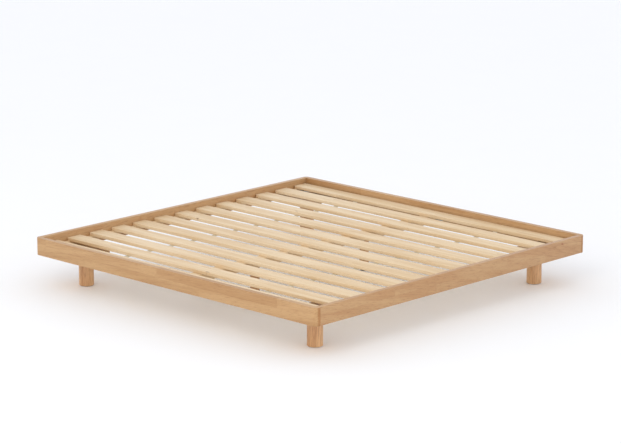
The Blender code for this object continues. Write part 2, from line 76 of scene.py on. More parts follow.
# %% [markdown]
# ## Modelling helpers
#
# Each new piece starts as a primitive and is shaped in edit mode, as by hand. An operator acts on
# all that is selected, so everything is deselected first. Edges and faces are then picked in
# code, by where they are, which way they point or how sharply two faces meet.


# %% Select one piece, and settle a new one
SAME_POINT = 0.00001


def deselect():
    if bpy.context.mode != "OBJECT":
        bpy.ops.object.mode_set(mode="OBJECT")
    bpy.ops.object.select_all(action="DESELECT")


def activate(made):
    deselect()
    made.select_set(True)
    bpy.context.view_layer.objects.active = made
    return made


def settle(name):
    """Names the new object and moves its place and size into its mesh."""
    made = bpy.context.object
    made.name = made.data.name = name
    bpy.ops.object.transform_apply(location=True, rotation=True, scale=True)
    return made


# %% Start a piece as a box, a cylinder or a copy of its CAD node
def start_box(name, low, high):
    deselect()
    low, high = Vector(low), Vector(high)
    bpy.ops.mesh.primitive_cube_add(size=1, location=(low + high) / 2, scale=high - low)
    return settle(name)


def start_cylinder(name, radius, foot, height, sides=96):
    """An upright cylinder that stands on the point foot."""
    deselect()
    middle = Vector(foot) + Vector((0, 0, height / 2))
    bpy.ops.mesh.primitive_cylinder_add(
        vertices=sides, radius=radius, depth=height, location=middle
    )
    return settle(name)


def start_copy(name, node):
    """A copy of a CAD node, with its loose triangles merged back into flat faces."""
    made = bpy.data.objects.new(name, nodes[node].data.copy())
    bpy.context.scene.collection.objects.link(made)
    activate(made)
    bpy.ops.object.mode_set(mode="EDIT")
    bpy.ops.mesh.select_all(action="SELECT")
    bpy.ops.mesh.remove_doubles(threshold=SAME_POINT)
    bpy.ops.mesh.dissolve_limited(angle_limit=math.radians(1))
    bpy.ops.object.mode_set(mode="OBJECT")
    return made


# %% Pick edges and faces in edit mode
def edit(made, mode):
    activate(made)
    bpy.ops.object.mode_set(mode="EDIT")
    bpy.ops.mesh.select_mode(type=mode)
    bpy.ops.mesh.select_all(action="DESELECT")
    return bmesh.from_edit_mesh(made.data)


def pick(made, mode, wanted):
    """Selects the vertices, edges or faces for which wanted is true, and counts them."""
    mesh = edit(made, mode)
    parts = {"VERT": mesh.verts, "EDGE": mesh.edges, "FACE": mesh.faces}[mode]
    chosen = [part for part in parts if wanted(part)]
    for part in chosen:
        part.select_set(True)
    bmesh.update_edit_mesh(made.data)
    return len(chosen)


def sharp(edge, angle=40):
    return edge.is_manifold and edge.calc_face_angle() > math.radians(angle)


def upright(edge):
    return (edge.verts[0].co - edge.verts[1].co).normalized().z ** 2 > 0.9


def round_edges(made, width, segments=3, wanted=sharp):
    if pick(made, "EDGE", wanted):
        bpy.ops.mesh.bevel(offset=width, segments=segments, affect="EDGES", clamp_overlap=True)
    bpy.ops.object.mode_set(mode="OBJECT")


# %% Turn a piece, as on a lathe
def arc(centre, radius, start, end, steps=6):
    """Points (radius, height) round an arc, its angles in degrees from the outward direction."""
    turns = [math.radians(start + (end - start) * step / steps) for step in range(steps + 1)]
    return [(centre[0] + radius * math.cos(t), centre[1] + radius * math.sin(t)) for t in turns]


def turned(name, centre, profile, steps=64):
    """Draws a profile of (radius, height) points beside an upright axis and spins it round."""
    deselect()
    start = Vector((centre.x + profile[0][0], centre.y, profile[0][1]))
    bpy.ops.mesh.primitive_plane_add(size=0.001, location=start)
    bpy.ops.object.mode_set(mode="EDIT")
    bpy.ops.mesh.select_mode(type="VERT")
    bpy.ops.mesh.select_all(action="SELECT")
    bpy.ops.mesh.merge(type="CENTER")
    for before, after in zip(profile, profile[1:]):
        step = (after[0] - before[0], 0, after[1] - before[1])
        bpy.ops.mesh.extrude_vertices_move(TRANSFORM_OT_translate={"value": step})
    bpy.ops.mesh.select_all(action="SELECT")
    bpy.ops.mesh.spin(
        steps=steps, angle=math.tau, center=(centre.x, centre.y, 0), axis=(0, 0, 1)
    )
    bpy.ops.mesh.select_all(action="SELECT")
    bpy.ops.mesh.remove_doubles(threshold=SAME_POINT)
    bpy.ops.mesh.normals_make_consistent(inside=False)
    bpy.ops.object.mode_set(mode="OBJECT")
    return settle(name)


# %% Join or cut two solids, and copy a pattern to a place
def combine(made, other, operation="UNION"):
    """Joins, cuts or trims a piece with another one, which is used up."""
    change = made.modifiers.new(operation.lower(), "BOOLEAN")
    change.operation = operation
    change.object = other
    activate(made)
    bpy.ops.object.modifier_apply(modifier=change.name)
    bpy.data.objects.remove(other)


def copy_at(pattern, name, place, facing):
    """A copy of a pattern that stands at the origin, with its +Z turned to face a direction."""
    copy = bpy.data.objects.new(name, pattern.data.copy())
    bpy.context.scene.collection.objects.link(copy)
    turn = Vector((0, 0, 1)).rotation_difference(Vector(facing)).to_matrix().to_4x4()
    copy.data.transform(Matrix.Translation(place) @ turn)
    return copy


# %% Finish a piece
def close_slivers(made):
    """Merges points so close that bevels and booleans have left a sliver between them."""
    activate(made)
    bpy.ops.object.mode_set(mode="EDIT")
    bpy.ops.mesh.select_mode(type="VERT")
    bpy.ops.mesh.select_all(action="SELECT")
    bpy.ops.mesh.remove_doubles(threshold=SAME_POINT)
    bpy.ops.object.mode_set(mode="OBJECT")


def finish_piece(made, finish, body, stands_for=()):
    """Smooths a piece, gives it its finish and lets it ride on a CAD body."""
    close_slivers(made)
    bpy.ops.object.shade_smooth_by_angle(angle=math.radians(35))
    made.data.materials.clear()
    made.data.materials.append(finish.material)
    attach(made, body)
    if stands_for:
        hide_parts(*stands_for)
    return made


# %% [markdown]
# ## Writing shader maths as Python
#
# A procedural finish is mostly arithmetic on numbers that change over the surface. Wrapping a
# socket in a small class lets an expression such as `1 - mask` add its own Math nodes. Every
# other node comes from one method, which takes the node's type, its settings and its inputs.


# %% A socket that does arithmetic
class Value:
    """A number, colour or vector that changes over a surface."""

    def __init__(self, finish, socket):
        self.finish, self.socket = finish, socket

    def math(self, operation, *others):
        return self.finish.math(operation, self, *others)

    def __add__(self, other):
        return self.finish.math("ADD", self, other)

    def __sub__(self, other):
        return self.finish.math("SUBTRACT", self, other)

    def __rsub__(self, other):
        return self.finish.math("SUBTRACT", other, self)

    def __mul__(self, other):
        return self.finish.math("MULTIPLY", self, other)

    def __truediv__(self, other):
        return self.finish.math("DIVIDE", self, other)

    def __pow__(self, other):
        return self.finish.math("POWER", self, other)

    __radd__, __rmul__ = __add__, __mul__


# %% A finish that makes its own nodes
class Finish:
    """A material with a Principled shader, and the means to feed it."""

    def __init__(self, name, roughness=0.5, metallic=0.0):
        self.material = bpy.data.materials.new(name)
        self.material.use_nodes = True
        self.tree = self.material.node_tree
        self.shader = self.tree.nodes["Principled BSDF"]
        self.set("Roughness", roughness)
        self.set("Metallic", metallic)
        self.place = self.node("TexCoord", output="Object")
        self.normal = self.node("TexCoord", output="Normal")

    def node(self, kind, settings=None, inputs=None, output=0):
        """Adds a node, and gives the output asked for, or all of them by name if it is None."""
        made = self.tree.nodes.new("ShaderNode" + kind)
        for name, value in (settings or {}).items():
            setattr(made, name, value)
        for socket, value in (inputs or {}).items():
            self.feed(made.inputs[socket], value)
        if output is None:
            return {socket.name: Value(self, socket) for socket in made.outputs}
        return Value(self, made.outputs[output])

    def feed(self, socket, value):
        if isinstance(value, Value):
            self.tree.links.new(value.socket, socket)
        else:
            socket.default_value = value

    def set(self, socket, value):
        self.feed(self.shader.inputs[socket], value)

    def math(self, operation, *inputs):
        return self.node("Math", {"operation": operation}, dict(enumerate(inputs)))

    def split(self, vector):
        return list(self.node("SeparateXYZ", inputs={0: vector}, output=None).values())

    def join(self, x, y, z):
        return self.node("CombineXYZ", inputs={0: x, 1: y, 2: z})

    def smooth(self, value, low, high):
        """0 below low and 1 above high, with a smooth step between."""
        settings = {"interpolation_type": "SMOOTHSTEP"}
        return self.node("MapRange", settings, {0: value, 1: low, 2: high})

    def blend(self, factor, first, second, mode="MIX"):
        settings = {"data_type": "RGBA", "blend_type": mode}
        return self.node("Mix", settings, {0: factor, 6: first, 7: second}, output=2)

    def noise(self, vector, scale=1.0, detail=2.0, rough=0.5):
        inputs = {"Vector": vector, "Scale": scale, "Detail": detail, "Roughness": rough}
        return self.node("TexNoise", {}, inputs)

    def bump(self, height, depth, strength=1.0):
        inputs = {"Height": height, "Distance": depth, "Strength": strength}
        self.set("Normal", self.node("Bump", {}, inputs))


def paint(red, green, blue):
    """A colour as a paint chart gives it, from 0 to 255, in the shader's own measure."""
    shares = [channel / 255 for channel in (red, green, blue)]
    linear = [s / 12.92 if s <= 0.04045 else ((s + 0.055) / 1.055) ** 2.4 for s in shares]
    return (*linear, 1.0)


# %% [markdown]
# ## Every board has its place in a log
#
# Wood looks right when its grain is cut from a solid: the same rings then show as long lines
# where the saw ran along them, as arches where it cut them at a slant, and as bands on the end.
# So each wooden piece stores, on its own points, where it lay in its log: how far along the
# grain, and how far out from the pith each way. A board whose grain leans away from the pith
# gets arches. One finish then serves every board of that wood, and no two look the same.

# %% Store a piece's place in its log
AXES = {"x": (0, 1, 2), "y": (1, 0, 2), "z": (2, 0, 1)}


def saw(made, along, pith, lean=(0.0, 0.0), start=0.0):
    """Stores each point's way along the grain and out from the pith, and the grain's direction."""
    grain, across, up = AXES[along]
    places = made.data.attributes.new("log_place", "FLOAT_VECTOR", "POINT")
    directions = made.data.attributes.new("log_axis", "FLOAT_VECTOR", "POINT")
    for vertex, place, direction in zip(made.data.vertices, places.data, directions.data):
        at = vertex.co
        place.vector = (
            at[grain] + start,
            at[across] - pith[0] - lean[0] * at[grain],
            at[up] - pith[1] - lean[1] * at[grain],
        )
        direction.vector = [float(axis == grain) for axis in range(3)]


# %% A finish that is cut from a log
class Wood(Finish):
    def __init__(self, name, roughness):
        super().__init__(name, roughness)
        log = self.node("Attribute", {"attribute_name": "log_place"}, output="Vector")
        axis = self.node("Attribute", {"attribute_name": "log_axis"}, output="Vector")
        self.grain, self.across, self.up = self.split(log)
        dot = {"operation": "DOT_PRODUCT"}
        facing = self.node("VectorMath", dot, {0: self.normal, 1: axis}, output="Value")
        self.end = self.smooth(facing.math("ABSOLUTE"), 0.80, 0.97)

    def glue_up(self, seam, length):
        """Splits the wood at the height seam into two rows of staves, each with its own log."""
        above = self.split(self.place)[2].math("GREATER_THAN", seam)
        stave = ((self.grain + above * 0.31) / length).math("FLOOR") + above * 17.3
        chance = self.random(stave)
        self.grain = self.grain + chance * 11
        self.up = self.up + (self.random(stave + 5.1) - 0.5) * 0.040
        return chance

    def stretched(self, long, wide, detail=2.0, shift=0.0, rough=0.5):
        """Noise whose blots are about long metres along the grain and wide metres across."""
        vector = self.join(
            self.grain / long + shift, self.across / wide + shift, self.up / wide
        )
        return self.noise(vector, detail=detail, rough=rough)

    def rings(self, width, sway, push=0.0):
        """Each growth ring's number, and the share of it passed, from 0 in spring to 1."""
        bend = (self.stretched(0.90, 0.25, shift=3.1) - 0.5) * sway
        ripple = (self.stretched(0.13, 0.05, shift=1.3) - 0.5) * (sway * 0.14)
        across = self.across + bend + ripple + push
        up = self.up + (self.stretched(0.70, 0.25, shift=8.7) - 0.5) * sway
        radius = (across * across + up * up) ** 0.5
        years = {"W": radius / (8 * width), "Scale": 1.0, "Detail": 1.0}
        uneven = self.node("TexNoise", {"noise_dimensions": "1D"}, years)
        count = radius / width + uneven * 5
        return count.math("FLOOR"), count.math("FRACT")

    def random(self, number):
        return self.node("TexWhiteNoise", {"noise_dimensions": "1D"}, {"W": number})


# %% [markdown]
# ### Oak
#
# Oiled oak is a warm honey colour. The wood that grows in spring is a narrow, porous, darker
# band, and the rest of the year's ring is broader, smoother and paler. Broad drifts of colour
# run along each board, with short dark pores and a few pale flecks. The end grain drinks more
# oil, so it is darker and redder than the face.


# %% The oak finish
RAIL_SEAM = (rail_bottom + rail_top) / 2
STAVE_LENGTH = 0.86
KNOT_PLACE = (0.842, 0.2475)
KNOT_SIZE = (0.014, 0.007)


def oak(
    name, pale, middle, deep, contrast=1.0, streaks=0.26, ring=0.0048, glue_line=0.55, knot=False
):
    wood = Wood(name, 0.45)
    stave = wood.glue_up(RAIL_SEAM, STAVE_LENGTH) if glue_line else 0.5
    number, share = wood.rings(ring, sway=0.026)
    spring = (1 - share) ** 2.6 * (wood.random(number) * 0.8 + 0.2)
    drift = wood.smooth(wood.stretched(0.50, 0.045, shift=6.1) + (stave - 0.5) * 0.26, 0.34, 0.66)
    streak = wood.smooth(wood.stretched(0.20, 0.0060, detail=3.0, shift=1.7), 0.42, 0.78)
    figure = wood.stretched(0.045, 0.0045, detail=3.0, shift=4.4, rough=0.62)
    fibre = wood.stretched(0.050, 0.0011, detail=2.0, shift=2.4, rough=0.6)
    pores = wood.smooth(wood.stretched(0.011, 0.0006, detail=1.0, shift=9.2), 0.60, 0.74)

    color = wood.blend(drift, pale, middle)
    color = wood.blend(streak * streaks, color, deep)
    color = wood.blend(spring * 0.30 * contrast, color, deep)
    color = wood.blend(wood.smooth(figure, 0.50, 0.72) * 0.42 * contrast, color, deep)
    color = wood.blend(wood.smooth(1 - figure, 0.54, 0.76) * 0.45, color, pale)
    color = wood.blend((fibre - 0.4) * 0.50 * contrast, color, deep)
    open_pores = pores * (spring * 0.8 + 0.2)
    color = wood.blend(open_pores * 0.40, color, deep, mode="MULTIPLY")
    x, y, z = wood.split(wood.place)
    if glue_line:
        seam = 1 - wood.smooth((z - RAIL_SEAM).math("ABSOLUTE"), 0.0003, 0.0020)
        color = wood.blend(seam * drift * glue_line, color, deep)
    if knot:
        ragged = (figure - 0.5) * 0.9
        aside = (y - KNOT_PLACE[0]) / KNOT_SIZE[0]
        above = (z - KNOT_PLACE[1]) / KNOT_SIZE[1] + aside * 0.5
        away = (aside * aside + above * above) ** 0.5 + ragged
        spot = (1 - wood.smooth(away, 0.35, 1.0)) * x.math("GREATER_THAN", 0.0)
        color = wood.blend(spot * 0.80, color, paint(142, 74, 36))
    color = wood.blend(wood.end, color, (0.79, 0.65, 0.50, 1), mode="MULTIPLY")
    wood.set("Base Color", color)
    wood.set("Roughness", 0.39 + spring * 0.07 + fibre * 0.12 + wood.end * 0.10)
    wood.bump(fibre * 0.4 - open_pores - spring * 0.15, 0.00016, 0.55)
    return wood


honey_oak = oak("honey_oak", paint(195, 156, 109), paint(180, 138, 91), paint(149, 102, 58))
rose_oak = oak(
    "rose_oak",
    paint(194, 156, 111),
    paint(184, 141, 96),
    paint(146, 97, 58),
    contrast=1.25,
    streaks=0.10,
    glue_line=0.10,
    knot=True,
)
# The legs' oak is painted paler than the rails' oak. This is painted light: it makes up for the
# light that the legs lack in the shade under the rails.
leg_oak_with_painted_light = oak(
    "leg_oak_with_painted_light",
    paint(224, 180, 132),
    paint(194, 145, 99),
    paint(136, 88, 50),
    contrast=1.15,
    streaks=0.30,
    ring=0.009,
    glue_line=0,
)
print("oak finishes:", honey_oak.material.name, rose_oak.material.name, leg_oak_with_painted_light.material.name)

# %% [markdown]
# ### Pine
#
# Nobody sees the slats, the beam or the ledgers once the mattress is in, so they are planed pine
# without oil. Pine is the reverse of oak: the dark line is the summer wood at the end of each
# ring. It has knots, and the rings bend round them.


# %% The pine finish
def pine(name, pale, middle, deep):
    wood = Wood(name, 0.55)
    branches = wood.join(wood.grain / 0.21, wood.across / 0.085, wood.up / 0.30)
    cells = wood.node("TexVoronoi", inputs={"Vector": branches, "Scale": 1.0}, output=None)
    away, chance = cells["Distance"], wood.split(cells["Color"])[0]
    chosen = 1 - wood.smooth(chance, 0.20, 0.22)
    knot = (1 - wood.smooth(away, 0.055, 0.085)) * chosen
    round_knot = (1 - wood.smooth(away, 0.0, 0.36)) * chosen
    number, share = wood.rings(0.0042, sway=0.020, push=round_knot * 0.022)
    summer = share ** 3.5 * (wood.random(number) * 0.6 + 0.4)
    drift = wood.stretched(0.6, 0.04, detail=1.0, shift=6.1)
    fibre = wood.stretched(0.06, 0.0010, detail=2.0, shift=2.4)

    color = wood.blend(wood.smooth(drift, 0.35, 0.65), pale, middle)
    color = wood.blend(summer * 0.50, color, deep)
    color = wood.blend((fibre - 0.4) * 0.35, color, deep)
    color = wood.blend(knot * 0.80, color, paint(122, 78, 45))
    color = wood.blend(wood.end * 0.8, color, (0.86, 0.78, 0.66, 1), mode="MULTIPLY")
    wood.set("Base Color", color)
    wood.set("Roughness", 0.50 + fibre * 0.16 - knot * 0.10)
    wood.bump(fibre * 0.5 - summer * 0.2 + knot * 0.5, 0.00018, 0.5)
    return wood


slat_pine = pine("slat_pine", paint(230, 207, 171), paint(219, 191, 150), paint(186, 144, 97))
print("pine finish:", slat_pine.material.name)

# %% [markdown]
# ## Rails
#
# The foot and head rails run the full width and wrap round the corners: their outer ends are
# rounded in plan, and the side rails butt behind them. Rounding both sides of the butt a little
# leaves the fine upright seam. The long edges are eased, which catches a pale line of light.

# %% Round an end rail and a side rail
EDGE_ROUND = 0.0025
SEAM_ROUND = 0.0012
CORNER_FLAT = 0.002
SAME_PLACE = 0.0005


def end_rail(name, pith, lean, start):
    rail = start_box(name + "_oak", *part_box(name))
    outward = -1 if rail.data.vertices[0].co.y < 0 else 1
    outer, inside = outward * outer_y, outward * inner_y

    def at(edge, y):
        return upright(edge) and sharp(edge) and abs(edge.verts[0].co.y - y) < SAME_PLACE

    round_edges(rail, rail_thickness - CORNER_FLAT, 24, lambda edge: at(edge, outer))
    round_edges(rail, SEAM_ROUND, 3, lambda edge: at(edge, inside))
    round_edges(rail, EDGE_ROUND, 5, lambda edge: sharp(edge) and not upright(edge))
    saw(rail, "x", pith, lean, start)
    return finish_piece(rail, honey_oak, "frame", [name])


def side_rail(name, pith, lean, start):
    rail = start_box(name + "_oak", *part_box(name))

    def crosses_the_end(edge):
        return sharp(edge) and abs(edge.verts[0].co.y - edge.verts[1].co.y) < SAME_PLACE

    round_edges(rail, EDGE_ROUND, 5, lambda edge: not crosses_the_end(edge))
    round_edges(rail, SEAM_ROUND, 3, crosses_the_end)
    saw(rail, "y", pith, lean, start)
    return finish_piece(rail, rose_oak, "frame", [name])


# %% Make the four rails
rails = [
    end_rail("foot_rail", (-outer_y + 0.085, rail_top + 0.050), (0.012, 0.070), 0.64),
    end_rail("head_rail", (outer_y - 0.070, rail_bottom + 0.010), (-0.020, 0.012), 3.7),
    side_rail("side_rail_right", (outer_x - 0.090, rail_top + 0.120), (0.030, -0.170), 7.9),
    side_rail("side_rail_left", (0.080 - outer_x, rail_bottom - 0.020), (0.015, 0.020), 12.3),
]
print("rails:", sum(len(rail.data.polygons) for rail in rails), "faces")

# %% [markdown]
# ## Legs
#
# Each leg is a plain cylinder, turned from one block with its grain upright. Only its foot is
# rounded enough to see, where it would otherwise splinter. A primitive cylinder with two bevels
# is all that this takes.

# %% Make the corner legs
FOOT_ROUND = 0.003
LEG_TOP_EDGE = 0.001
legs = []
for index, corner in enumerate(corners):
    low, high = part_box(f"leg_{corner}")
    foot = Vector(((low.x + high.x) / 2, (low.y + high.y) / 2, low.z))
    halfway = (low.z + high.z) / 2
    leg = start_cylinder(f"leg_{corner}_oak", (high.x - low.x) / 2, foot, high.z - low.z, 128)
    round_edges(leg, FOOT_ROUND, 5, lambda edge: sharp(edge) and edge.verts[0].co.z < halfway)
    round_edges(leg, LEG_TOP_EDGE, 2, lambda edge: sharp(edge) and edge.verts[0].co.z > halfway)
    pith = (foot.x + (0.052, -0.020, 0.048, -0.050)[index], foot.y - 0.055)
    saw(leg, "z", pith, (0.04, 0.06), 20.0 + 1.7 * index)
    legs.append(finish_piece(leg, leg_oak_with_painted_light, "frame", [f"leg_{corner}"]))
print("legs:", len(legs), "of", round((high.x - low.x) * 1000), "mm")

# %% [markdown]
# ## Slats, ledgers and beam
#
# The slats are planed boards with eased edges. The ledgers and the centre beam are sawn to the
# shapes that the CAD gives them, so they start as copies of their nodes, and only their sharp
# edges are eased. Each one gets a log of its own.


# %% Slats
SLAT_EDGE = 0.002
for index, name in enumerate(slat_names):
    low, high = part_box(name)
    slat = start_box(name + "_pine", low, high)
    round_edges(slat, SLAT_EDGE, 3)
    middle = (low + high) / 2
    swing = math.sin(2.4 * index)
    pith = (middle.y + 0.030 * swing, middle.z - 0.050 - 0.030 * math.cos(1.7 * index))
    saw(slat, "x", pith, (0.010 * swing, 0.012), 31.0 + 5.3 * index)
    finish_piece(slat, slat_pine, "slat_deck", [name])
print("slats:", len(slat_names))

# %% Ledgers and beam
BEARER_EDGE = 0.0012
bearers = {
    "side_ledger_left": ("y", 0.040),
    "side_ledger_right": ("y", -0.045),
    "end_ledger_foot": ("x", 0.050),
    "end_ledger_head": ("x", -0.035),
    "centre_beam": ("y", 0.015),
}
for index, (name, (along, aside)) in enumerate(bearers.items()):
    bearer = start_copy(name + "_pine", name)
    round_edges(bearer, BEARER_EDGE, 2)
    low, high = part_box(name)
    middle = (low + high) / 2
    across = middle[AXES[along][1]] + aside
    saw(bearer, along, (across, middle.z - 0.060), (0.010, 0.006), 61.0 + 4.1 * index)
    finish_piece(bearer, slat_pine, "frame", [name])
print("bearers:", len(bearers))

# %% [markdown]
# ## Plywood
#
# The legs are bolted to boards of birch plywood. Its faces are peeled veneer with a soft, wide
# figure, and its edges show the plies, which turn dark where the end grain faces out.


# %% The plywood finish
def plywood(name, bottom, thickness, plies=15):
    ply = Finish(name, 0.55)
    x, y, z = ply.split(ply.place)
    swirl = ply.noise(ply.join(x * 3, y * 14, z * 3), detail=3.0)
    figure = ply.noise(ply.join(x * 8 + swirl * 5, y * 30 + swirl * 9, z), detail=2.0)
    face = ply.blend(ply.smooth(figure, 0.35, 0.7), paint(222, 190, 146), paint(205, 166, 118))
    layer = (z - bottom) * (plies / thickness)
    odd = (layer * 0.5).math("FRACT")
    dark_ply = ply.smooth(odd, 0.48, 0.52)
    glue = 1 - ply.smooth(layer.math("FRACT"), 0.0, 0.10)
    speckle = ply.noise(ply.join(x * 900, y * 900, z * 250), detail=1.0)
    edge = ply.blend(dark_ply, paint(214, 180, 134), paint(160, 116, 76))
    edge = ply.blend(glue * 0.5, edge, paint(96, 64, 42))
    edge = ply.blend((speckle - 0.4) * 0.5, edge, paint(120, 84, 52))
    up = ply.split(ply.normal)[2].math("ABSOLUTE")
    ply.set("Base Color", ply.blend(ply.smooth(up, 0.6, 0.8), edge, face))
    ply.set("Roughness", 0.50 + figure * 0.15)
    ply.bump(figure * 0.4 - glue * 0.3, 0.00015, 0.5)
    return ply


board_low, board_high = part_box("leg_board_foot_left")
birch = plywood("birch_plywood", board_low.z, board_high.z - board_low.z)
for corner in corners:
    board = start_copy(f"leg_board_{corner}_birch", f"leg_board_{corner}")
    finish_piece(board, birch, "frame", [f"leg_board_{corner}"])
print("plywood boards:", len(corners))

# %% [markdown]
# ## Hardware
#
# The brackets, hangers and bolts are zinc-plated steel: bright, slightly blue, with a cloudy
# sheen and fine scratches. The CAD shapes of the brackets and hangers are right, so a copy with
# eased edges will do. The bolts are turned afresh, with finer rounds. A hexagon head is a
# six-sided bar trimmed by a chamfered disc, which leaves the curved corners of a real one.


# %% The zinc, nylon and felt finishes
def zinc(name):
    steel = Finish(name, 0.35, 1.0)
    cloud = steel.noise(steel.place, scale=60.0, detail=3.0)
    x, y, z = steel.split(steel.place)
    scratch = steel.noise(steel.join(x * 40, y * 40, z * 2200), detail=2.0)
    steel.set("Base Color", steel.blend(cloud, paint(205, 207, 210), paint(178, 182, 188)))
    steel.set("Roughness", 0.24 + cloud * 0.20 + scratch * 0.06)
    steel.bump(scratch + cloud * 0.5, 0.00004, 0.4)
    return steel


def nylon(name):
    plastic = Finish(name, 0.5)
    grain = plastic.noise(plastic.place, scale=1400.0, detail=2.0)
    plastic.set("Base Color", plastic.blend(grain, paint(38, 38, 40), paint(52, 52, 55)))
    plastic.set("Roughness", 0.42 + grain * 0.20)
    plastic.bump(grain, 0.00005, 0.5)
    return plastic


def felt(name):
    wool = Finish(name, 0.95)
    fuzz = wool.noise(wool.place, scale=900.0, detail=4.0, rough=0.7)
    clump = wool.noise(wool.place, scale=160.0, detail=2.0)
    color = wool.blend(fuzz, paint(176, 164, 146), paint(206, 196, 178))
    wool.set("Base Color", wool.blend(clump * 0.5, color, paint(160, 148, 130)))
    wool.set("Roughness", 0.85 + clump * 0.15)
    wool.bump(fuzz + clump, 0.0006, 0.8)
    return wool


zinc_steel, black_nylon, wool_felt = zinc("zinc_steel"), nylon("black_nylon"), felt("wool_felt")

# %% Ease the edges of the sheet steel
SHEET_EDGE = 0.0003
sheet_steel = [f"corner_bracket_{corner}" for corner in corners]
sheet_steel += ["beam_hanger_foot", "beam_hanger_head"]
for name in sheet_steel:
    piece = start_copy(name + "_zinc", name)
    round_edges(piece, SHEET_EDGE, 2, lambda edge: sharp(edge, 50))
    finish_piece(piece, zinc_steel, "frame", [name])
print("sheet steel pieces:", len(sheet_steel))

# %% Model the two kinds of bolt
HEXAGON_WIDTH = 0.017
HEXAGON_CHAMFER = 0.0011
LEG_BOLT_RADIUS = 0.005
LEG_BOLT_HEAD = 0.0064
LEG_BOLT_WASHER = (0.012, 0.002)  # radius and thickness
CORNER_BOLT_RADIUS = 0.004
CORNER_BOLT_HEAD = (0.0065, 0.008)  # radius and height
CORNER_BOLT_WASHER = (0.008, 0.0016)  # radius and thickness
CORNER_BOLT_SOCKET = 0.006
BOLT_EDGE = 0.0004
BOLT_TIP = 0.001


def hexagon(name, foot, height):
    """A chamfered hexagon that stands on the point foot."""
    across_corners = HEXAGON_WIDTH / math.sqrt(3)
    bar = start_cylinder(name, across_corners, foot, height, 6)
    disc = start_cylinder("disc", across_corners, foot, height, 64)
    round_edges(disc, HEXAGON_CHAMFER, 2)
    combine(bar, disc, "INTERSECT")
    return bar


def washer_profile(washer):
    """The outer side of a washer that lies on z = 0, from its top edge down."""
    radius, thickness = washer
    profile = arc((radius - BOLT_EDGE, thickness - BOLT_EDGE), BOLT_EDGE, 90, 0, 2)
    return profile + arc((radius - BOLT_EDGE, BOLT_EDGE), BOLT_EDGE, 0, -90, 2)


def shank_profile(radius, length):
    """The outer side of a shank below z = 0, down to its chamfered tip."""
    return [(radius, 0), (radius, BOLT_TIP - length), (radius - BOLT_TIP, -length), (0, -length)]


def leg_bolt(length):
    profile = [(0, LEG_BOLT_WASHER[1])] + washer_profile(LEG_BOLT_WASHER)
    bolt = turned("leg_bolt", Vector(), profile + shank_profile(LEG_BOLT_RADIUS, length), 48)
    head = hexagon("head", (0, 0, LEG_BOLT_WASHER[1] - BOLT_EDGE), LEG_BOLT_HEAD + BOLT_EDGE)
    combine(bolt, head)
    return bolt


def corner_bolt(length):
    head_radius, head_height = CORNER_BOLT_HEAD
    foot = CORNER_BOLT_WASHER[1]
    top = foot + head_height
    profile = [(0, top)] + arc((head_radius - BOLT_EDGE, top - BOLT_EDGE), BOLT_EDGE, 90, 0, 3)
    profile += [(head_radius, foot)] + washer_profile(CORNER_BOLT_WASHER)
    bolt = turned("corner_bolt", Vector(), profile + shank_profile(CORNER_BOLT_RADIUS, length), 48)
    socket_foot = (0, 0, top - head_height / 2)
    socket = start_cylinder("socket", CORNER_BOLT_SOCKET / math.sqrt(3), socket_foot, head_height, 6)
    combine(bolt, socket, "DIFFERENCE")
    return bolt


# %% Bolt the frame together
def place_bolt(pattern, node, outward, head_height):
    """Puts a bolt where its CAD node is, its tip pointing outward from the frame."""
    low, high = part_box(node)
    reach = [bound.dot(outward) for bound in (low, high)]
    middle = (low + high) / 2
    seat = middle + outward * (min(reach) + head_height - middle.dot(outward))
    bolt = copy_at(pattern, node + "_zinc", seat, -outward)
    finish_piece(bolt, zinc_steel, "frame", [node])


low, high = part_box("leg_bolt_foot_left")
leg_head = LEG_BOLT_WASHER[1] + LEG_BOLT_HEAD
leg_pattern = leg_bolt(high.z - low.z - leg_head)
low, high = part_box("corner_bolt_foot_left_side")
corner_head = CORNER_BOLT_WASHER[1] + CORNER_BOLT_HEAD[1]
corner_pattern = corner_bolt(high.x - low.x - corner_head)
for corner, (sx, sy) in corners.items():
    place_bolt(leg_pattern, f"leg_bolt_{corner}", Vector((0, 0, -1)), leg_head)
    place_bolt(corner_pattern, f"corner_bolt_{corner}_end", Vector((0, sy, 0)), corner_head)
    place_bolt(corner_pattern, f"corner_bolt_{corner}_side", Vector((sx, 0, 0)), corner_head)
for pattern in (leg_pattern, corner_pattern):
    print(pattern.name + ":", len(pattern.data.polygons), "faces")
    bpy.data.objects.remove(pattern)

# %% [markdown]
# ### Felt pads
#
# A disc of pressed wool felt under each leg saves the floor. It is a low cylinder whose rims
# have gone soft, so a small quarter round goes at its top and bottom edges.

# %% Cut the felt pads
FELT_EDGE = 0.0006
for corner in corners:
    node = f"felt_pad_{corner}"
    low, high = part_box(node)
    radius = (high.x - low.x) / 2
    profile = [(0, high.z)] + arc((radius - FELT_EDGE, high.z - FELT_EDGE), FELT_EDGE, 90, 0, 3)
    profile += arc((radius - FELT_EDGE, low.z + FELT_EDGE), FELT_EDGE, 0, -90, 3) + [(0, low.z)]
    pad = turned(node + "_wool", (low + high) / 2, profile, 96)
    finish_piece(pad, wool_felt, "frame", [node])
print("felt pads:", len(corners))

# %% [markdown]
# ## Centre legs and levelling feet
#
# Two turned legs hold up the beam. A tenon on top goes into the beam, and a threaded stem
# screws into the foot, so that turning its hexagon brings a nylon pad down to the floor. All of
# these are round, so each is a profile spun about its axis, and the hexagon that a spanner fits
# is joined to the stem. The thread is cut as fine grooves: at a pitch of 1.5 mm the eye can't
# tell them from a helix, and a closed shape is kept.


